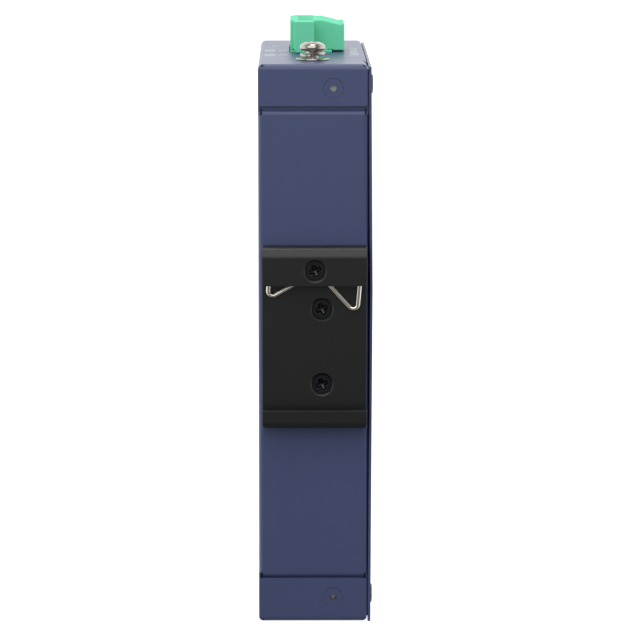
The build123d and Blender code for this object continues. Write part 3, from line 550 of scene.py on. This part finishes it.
spring_screw_low, spring_screw_high = box_of("din_spring_screw")
screws(
    "spring_screw_turned",
    "din_spring_screw",
    [(spring_screw_x, spring_screw_low[1], spring_screw_z)],
    (0, -1, 0),
    flat_face,
    flat_rest(spring_screw_high[1] - spring_screw_low[1]),
    clip_screw_turn,
)
clip_screw_low, clip_screw_high = box_of("din_clip_screws")
screws(
    "clip_screws_turned",
    "din_clip_screws",
    [(clip_screw_x, clip_screw_low[1], z) for z in clip_screw_heights],
    (0, -1, 0),
    flat_face,
    flat_rest(clip_screw_high[1] - clip_screw_low[1]),
    clip_screw_turn,
)
print("clip screws:", 1 + len(clip_screw_heights))

# %% [markdown]
# The cover's screws
#
# Four oval countersunk screws hold the cover. Their low crowns stand above the sheet, and the photo shows
# two of them from the side. The line starts with the crown, and then follows the flat screw's line from
# its cone on, so the points of the flat screw's rim are left out.

# %% Cover screws
crown = 0.5
crown_round = 0.45
rim_points = 4
cover_screw_depths = (-37, 37)
cover_screw_heights = (5.3, 129.8)
cover_screw_turn = 15

cover_low, cover_high = box_of("cover_screws")
cover_face = np.array([(0.0, 0.0), (head_radius - crown_round, 0.0)])
crown_edge = arc_points((head_radius - crown_round, -crown_round), crown_round, 90, 0, 8)
cover_shank = flat_rest(cover_high[0] - cover_low[0] - crown)[rim_points:] - (0, crown)
cover_places = [(cover_high[0], y, z) for y in cover_screw_depths for z in cover_screw_heights]
screws(
    "cover_screws_turned",
    "cover_screws",
    cover_places,
    (1, 0, 0),
    cover_face,
    np.concatenate([crown_edge, cover_shank]),
    cover_screw_turn,
)
print("cover screws:", len(cover_places))

# %% [markdown]
# The ground screw
#
# A pan head is pressed into a shallow dome with full shoulders. A sine and a cosine, each to a power
# a little under one, draw such a dome: with a power of one it would be a plain half ellipse.

# %% Ground screw
pan_radius = 3.05
pan_height = 2.3
pan_shoulder = 1.45
pan_foot = 0.75
pan_fullness = 0.9
pan_face_radius = 2.0
root_round = 0.05
tip_round = 0.3
ground_screw_turn = 35

ground_low, ground_high = box_of("ground_screw")
ground_place = (
    (ground_low[0] + ground_high[0]) / 2,
    (ground_low[1] + ground_high[1]) / 2,
    ground_high[2],
)
upper_turn = np.linspace(0, math.pi / 2, 60)
crown_out = pan_radius * np.sin(upper_turn) ** pan_fullness
crown_down = -pan_shoulder * (1 - np.cos(upper_turn) ** pan_fullness)
crown_line = np.stack([crown_out, crown_down], axis=1)
pan_face = crown_line[crown_line[:, 0] < pan_face_radius]
foot_line = arc_points((pan_radius - pan_foot, -pan_height + pan_foot), pan_foot, 0, -90, 12)
shank_end = ground_low[2] - ground_high[2]
shank_corners = [
    (pan_radius - pan_foot, -pan_height),
    (screw_radius, -pan_height),
    (screw_radius, shank_end),
    (0, shank_end),
]
shank_line = rounded_line(shank_corners, [root_round, tip_round])
screws(
    "ground_screw_turned",
    "ground_screw",
    [ground_place],
    (0, 0, 1),
    pan_face,
    np.concatenate([crown_line[len(pan_face) - 1 :], foot_line, shank_line[1:]]),
    ground_screw_turn,
    dull_nickel,
)
print("ground screw:", round(float(-shank_end), 2), "mm long")

# %% [markdown]
# The flat washer
#
# The flat washer is stamped, so its section is a small rectangle with rounded corners. The section is
# turned round the ground screw's axis.

# %% Flat washer
washer_bore = 1.6
washer_round = 0.12
washer_steps = 120
centre_x, centre_y = ground_place[:2]


def washer_section(outer_radius, low, high):
    """A washer's section in (radius, height): a closed line that starts halfway up the bore."""
    corners = np.array(
        [(washer_bore, low), (outer_radius, low), (outer_radius, high), (washer_bore, high)]
    )
    middle = (corners[-1] + corners[0]) / 2
    return rounded_line([middle, *corners, middle], [washer_round] * len(corners), steps=3)[:-1]


flat_low, flat_high = box_of("ground_flat_washer")
flat_section = washer_section((flat_high[0] - flat_low[0]) / 2, flat_low[2], flat_high[2])
flat_washer = turned(flat_section, washer_steps) + (centre_x, centre_y, 0)
flat_mesh = surface_mesh("flat_washer_turned", [(flat_washer, True, True)])
stand_in("flat_washer_turned", "ground_flat_washer", flat_mesh, dull_nickel)
print("flat washer faces:", len(flat_mesh.polygons))

# %% [markdown]
# The lock washer
#
# The lock washer is a strip of spring steel coiled once and cut, so that its ends dig in. Its section
# follows a left-hand helix, and each end is closed by a fan of faces. The cut faces the rail side.

# %% Lock washer
lock_radius = 3.0
lock_thickness = 0.9
lock_split = 24.0
split_direction = -90
lock_play = 0.01
lock_low, lock_high = box_of("ground_lock_washer")


def coil_rows(section, count):
    """The section carried along a left-hand helix: the angle falls while the height grows evenly."""
    share = np.linspace(0, 1, count)[:, None]
    angle = np.radians(split_direction - lock_split / 2 - (360 - lock_split) * share)
    rise = lock_high[2] - lock_low[2] - lock_thickness - 2 * lock_play
    height = section[:, 1] + lock_low[2] + lock_play + rise * share
    radius = section[:, 0]
    return np.stack([radius * np.cos(angle), radius * np.sin(angle), height], axis=-1)


coil = coil_rows(washer_section(lock_radius, 0.0, lock_thickness), washer_steps)
ends = [np.broadcast_to(row.mean(axis=0), row.shape)[None] for row in (coil[0], coil[-1])]
coil = np.concatenate([ends[0], coil, ends[1]]) + (centre_x, centre_y, 0)
lock_mesh = surface_mesh("lock_washer_coiled", [(coil, False, True)])
stand_in("lock_washer_coiled", "ground_lock_washer", lock_mesh, dull_nickel)
print("lock washer faces:", len(lock_mesh.polygons))

# %% [markdown]
# The wire spring's path
#
# One length of hard wire makes a loop under its screw and two arms that press on the rail. A wire form
# is a flat path of straight runs and arcs with a circle carried along it, so the path comes first. Where
# an arm leaves the loop it bends round a small shoulder.

# %% Path of the wire
loop_centre = np.array((spring_screw_x, spring_screw_z))
loop_radius = 2.15
loop_steps = 48
shoulder_radius = 0.9
elbow_radius = 1.15
leg_top = 87.9
wire_step = 1.0
arms = {
    "left": {"angle": 209.5, "offset": 0.75, "reach": 13.35, "side": -1, "lean": -0.6},
    "right": {"angle": 312.2, "offset": 0.0, "reach": 14.9, "side": 1, "lean": 1.1},
}


def direction(point, centre):
    """The angle in which a point lies from a centre."""
    return math.atan2(point[1] - centre[1], point[0] - centre[0])


def arc_between(centre, start, end, steps):
    """Points on the shorter arc round a centre from one point to another."""
    first = direction(start, centre)
    turn = (direction(end, centre) - first + math.pi) % (2 * math.pi) - math.pi
    angles = first + turn * np.linspace(0, 1, steps + 1)
    radius = np.linalg.norm(start - centre)
    return centre + radius * np.stack([np.cos(angles), np.sin(angles)], axis=1)


def arm_path(angle, offset, reach, side, lean):
    """One arm from the top of its leg to the loop: leg, elbow, arm and shoulder."""
    along = np.array((math.cos(math.radians(angle)), math.sin(math.radians(angle))))
    across = np.array((-along[1], along[0])) * side
    start = loop_centre - across * offset
    aside = shoulder_radius - offset
    ahead = math.sqrt((loop_radius + shoulder_radius) ** 2 - aside**2)
    bend_centre = loop_centre + along * ahead + across * aside
    on_arm = start + along * ahead
    towards = bend_centre - loop_centre
    on_loop = loop_centre + towards / np.linalg.norm(towards) * loop_radius
    elbow = start + along * reach
    leg = np.array((elbow[0] + side * lean, leg_top))
    outer = rounded_line([leg, elbow, on_arm], [elbow_radius], steps=12)
    return np.concatenate([outer[:-1], arc_between(bend_centre, on_arm, on_loop, 8)])


left = arm_path(**arms["left"])
right = arm_path(**arms["right"])
loop_start = direction(left[-1], loop_centre) % (2 * math.pi)
loop_end = direction(right[-1], loop_centre)
loop_angles = np.linspace(loop_start, loop_end, loop_steps + 1)[1:-1]
loop = loop_centre + loop_radius * np.stack([np.cos(loop_angles), np.sin(loop_angles)], axis=1)
wire_line = spaced(np.concatenate([left, loop, right[::-1]]), wire_step)
wire_length = np.linalg.norm(np.diff(wire_line, axis=0), axis=1).sum()
print("wire length:", round(float(wire_length), 1), "mm")

# %% [markdown]
# The wire along the path
#
# Each ring of the wire lies across the path's direction there. At each end the last ring moves in a
# little, and two more rings, a smaller one and one shrunk to a point, close the end with a rounded edge.

# %% Wire spring
wire_radius = 0.55
wire_plane = -47.2
end_round = 0.12
end_share = 0.75


def wire_tube(line, sectors=28):
    """A circle carried along a flat path of (x, z), with closed and rounded ends."""
    ahead = np.gradient(line, axis=0)
    ahead /= np.linalg.norm(ahead, axis=1, keepdims=True)
    across = np.stack([-ahead[:, 1], ahead[:, 0]], axis=1)
    last = len(line) - 1
    rows = np.array([0, 0, *range(len(line)), last, last])
    size = np.full(len(rows), wire_radius)
    size[[0, -1]] = 0.0
    size[[1, -2]] = wire_radius * end_share
    push = np.zeros(len(rows))
    push[2], push[-3] = end_round, -end_round
    centre = line[rows] + ahead[rows] * push[:, None]
    angle = np.linspace(0, 2 * np.pi, sectors, endpoint=False)
    sideways = across[rows, None] * (size[:, None] * np.cos(angle))[..., None]
    flat = centre[:, None] + sideways
    depth = wire_plane + size[:, None] * np.sin(angle)
    return np.stack([flat[..., 0], depth, flat[..., 1]], axis=-1)


wire_mesh = surface_mesh("wire_spring_bent", [(wire_tube(wire_line), False, True)], sharp=50.0)
stand_in("wire_spring_bent", "din_spring", wire_mesh)
print("wire faces:", len(wire_mesh.polygons))

# %% [markdown]
# Printed fields
#
# The top carries small pale printed fields, seen almost edge on. Screen print lies on the paint as a
# film, so each field is a very thin plate with its own ink. Its two pairs say from where to where it
# reaches across the case and along it.

# %% Printed fields
ink_thickness = 0.02
case_top = box_of("case_tray")[1][2]
fields = [
    ((-11.9, -9.2), (-1.5, 8.5)),
    ((-8.5, -6.3), (1.5, 5.5)),
    ((-11.9, -9.2), (-17.5, -8.0)),
    ((-8.5, -6.3), (-14.5, -10.5)),
    ((-10.1, -9.0), (18.5, 22.5)),
    ((9.3, 11.3), (-15.0, 14.0)),
]


def thin_plate(x, y):
    """A closed plate: a loop of four corners carried from its lower middle to its upper middle."""
    corners = np.array([(x[0], y[0]), (x[1], y[0]), (x[1], y[1]), (x[0], y[1])])
    middle = np.broadcast_to(corners.mean(axis=0), corners.shape)
    flat = np.stack([middle, corners, corners, middle])
    heights = case_top + np.array([0.0, 0.0, ink_thickness, ink_thickness])
    levels = np.broadcast_to(heights[:, None, None], (len(flat), len(corners), 1))
    return np.concatenate([flat, levels], axis=-1)


print_mesh = surface_mesh("printed_fields", [(thin_plate(*field), False, True) for field in fields])
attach(place_piece("printed_fields", print_mesh, print_ink), "case")
print("printed fields:", len(fields))

# %% [markdown]
# Floor
#
# A pale floor that turns up behind the object into a wall has no horizon line. It glows, so it stays
# white where the light falls off, and only a soft shadow shows under the case. Light that bounces off it
# would fill the shaded faces too evenly, so the object doesn't see it.

# %% Floor
floor_reach = 3000.0
sweep_radius = 800.0
wall_height = 2500.0
floor_width = 8000.0
floor_glow = 0.8

floor_finish, tree, shader = start_finish("pale studio paper", "#c8c8c8", Roughness=0.9)
shader.inputs["Emission Color"].default_value = (1.0, 1.0, 1.0, 1.0)
shader.inputs["Emission Strength"].default_value = floor_glow
curve = arc_points((floor_reach, sweep_radius), sweep_radius, -90, 0, 24)
sweep = np.concatenate([[(-floor_reach, 0.0)], curve, [(floor_reach + sweep_radius, wall_height)]])
points = np.zeros((len(sweep), 2, 3))
points[..., 0] = np.array((-floor_width / 2, floor_width / 2))
points[..., 1:] = sweep[:, None]
floor = place_piece("floor", surface_mesh("floor", [(points, False, False)]), floor_finish)
floor.visible_diffuse = False
floor.visible_glossy = False
print("floor points:", len(floor.data.vertices))

# %% [markdown]
# The studio around the object
#
# The studio is bright above, beside and behind the object and dark on the camera's side. A surface
# seen along its length mirrors the bright side, so the blue top reads almost white, while the black clip
# that faces the camera stays black. The world's strength follows the direction: a share of `y` and of
# the distance to either side, less a share of the height or depth. Where that sum is low the world is
# dim, where it is high it is bright, and the camera itself always sees white.

# %% World
behind_weight = 0.75
beside_weight = 0.55
level_weight = -0.45
dim_below = -0.35
bright_above = 0.6
dim_strength = 0.22
bright_strength = 1.5

world = bpy.data.worlds.new("white studio")
world.use_nodes = True
tree = world.node_tree
sight = add_node(tree, "TexCoord", {}).outputs["Generated"]
aside = add_node(tree, "VectorMath", {0: sight}, operation="ABSOLUTE").outputs["Vector"]
behind = add_node(
    tree, "VectorMath", {0: sight, 1: (0.0, behind_weight, 0.0)}, operation="DOT_PRODUCT"
)
beside = add_node(
    tree, "VectorMath", {0: aside, 1: (beside_weight, 0.0, level_weight)}, operation="DOT_PRODUCT"
)
both = add_node(tree, "Math", {0: behind.outputs["Value"], 1: beside.outputs["Value"]})
glow_inputs = {
    "Value": both.outputs["Value"],
    "From Min": dim_below,
    "From Max": bright_above,
    "To Min": dim_strength,
    "To Max": bright_strength,
}
glow = add_node(tree, "MapRange", glow_inputs, interpolation_type="SMOOTHSTEP")
seen = add_node(tree, "LightPath", {}).outputs["Is Camera Ray"]
strength = add_node(tree, "Math", {0: glow.outputs["Result"], 1: seen}, operation="MAXIMUM")
background = tree.nodes["Background"]
background.inputs["Color"].default_value = (1.0, 1.0, 1.0, 1.0)
tree.links.new(strength.outputs["Value"], background.inputs["Strength"])
bpy.context.scene.world = world
bpy.context.scene.view_settings.view_transform = "Standard"
print("world strength:", dim_strength, "to", bright_strength)

# %% [markdown]
# Lights
#
# A large soft light above the camera lights the back of the case, and a smaller one overhead draws a
# line along each fold. An area light shines along its own downward axis, so two turns aim it: one lifts
# that axis to the target's height, the other swings it round.

# %% Lights


def soft_light(name, place, target, size, power):
    """A square area light that faces a target: lengths in millimetres, power in watts."""
    light = bpy.data.lights.new(name, "AREA")
    light.size = size * mm
    light.energy = power
    lamp = bpy.data.objects.new(name, light)
    lamp.location = np.array(place) * mm
    away = np.array(target) - np.array(place)
    pitch = math.atan2(math.hypot(away[0], away[1]), -away[2])
    yaw = math.atan2(-away[0], away[1])
    lamp.rotation_euler = (pitch, 0.0, yaw)
    bpy.context.scene.collection.objects.link(lamp)
    return lamp


soft_light("upper front light", (-120, -650, 620), (0, 0, 80), size=1100, power=6.3)
soft_light("top light", (0, 20, 900), (0, -30, 100), size=300, power=1.4)
print("lights set")

# %% [markdown]
# Camera
#
# The photograph was taken from behind the rail side, a little above the middle, with a long lens. The
# camera's place and angle come from fitting the case's known edges to the picture. Its lens follows from
# the same fit: the focal length in pixels, over the picture's width in pixels, times the sensor's width.

# %% Camera
sensor_width = 36.0
focal_pixels = 3389.56
frame_pixels = 630
camera_place = np.array((-4.85, -847.25, 191.84))
looks_down = 8.282
looks_right = 0.374

camera_data = bpy.data.cameras.new("camera")
camera_data.sensor_width = sensor_width
camera_data.lens = focal_pixels / frame_pixels * sensor_width
camera = bpy.data.objects.new("camera", camera_data)
camera.location = camera_place * mm
camera.rotation_euler = (math.radians(90 - looks_down), 0.0, math.radians(-looks_right))
bpy.context.scene.collection.objects.link(camera)
bpy.context.scene.camera = camera
print("lens:", round(camera_data.lens, 1), "mm")
